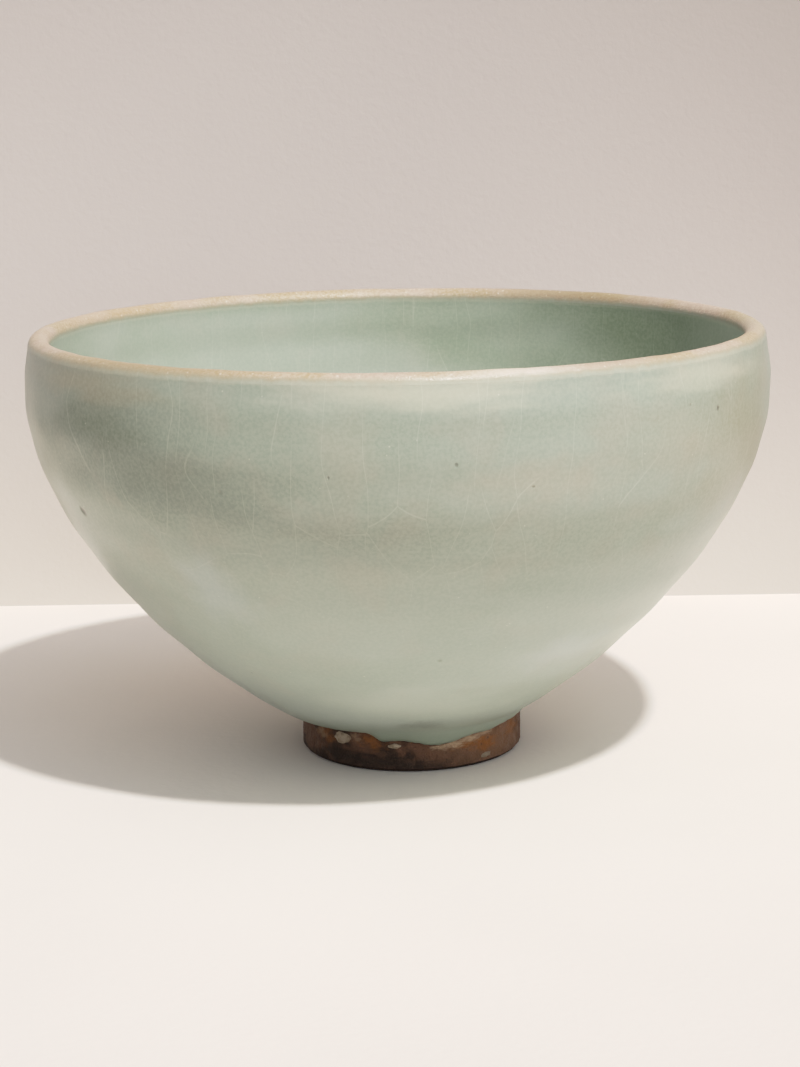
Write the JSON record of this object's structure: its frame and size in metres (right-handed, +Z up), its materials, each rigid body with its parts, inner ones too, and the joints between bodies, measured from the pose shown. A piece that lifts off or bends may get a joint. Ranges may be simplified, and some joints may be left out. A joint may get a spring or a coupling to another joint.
{
  "type": "bowl",
  "caption": "Deep round stoneware bowl on a small turned foot, with thick pale blue-green glaze, a mushroom-brown lip and an uneven glaze roll above a brown foot.",
  "frame": {"origin": "on the surface that the bowl stands on, on the axis of the bowl's wall", "axes": "+Z up through the mouth; the foot was turned 2.4 mm off the axis towards +X; the picture looks along +Y"},
  "size_m": [0.2, 0.2, 0.1169],
  "materials": {
    "stoneware": "matte",
    "outer_glaze": "satin",
    "inner_glaze": "satin",
    "lip_glaze": "satin",
    "foot_wash": "matte",
    "glaze_splash": "matte"
  },
  "bodies": {
    "root": {"stoneware_body": "stoneware", "outer_glaze": "outer_glaze", "lip_glaze": "lip_glaze", "inner_glaze": "inner_glaze", "base_glaze": "outer_glaze", "foot_wash": "foot_wash", "glaze_splash_left": "glaze_splash", "glaze_splash_centre": "glaze_splash", "glaze_splash_right": "glaze_splash"}
  },
  "joints": []
}
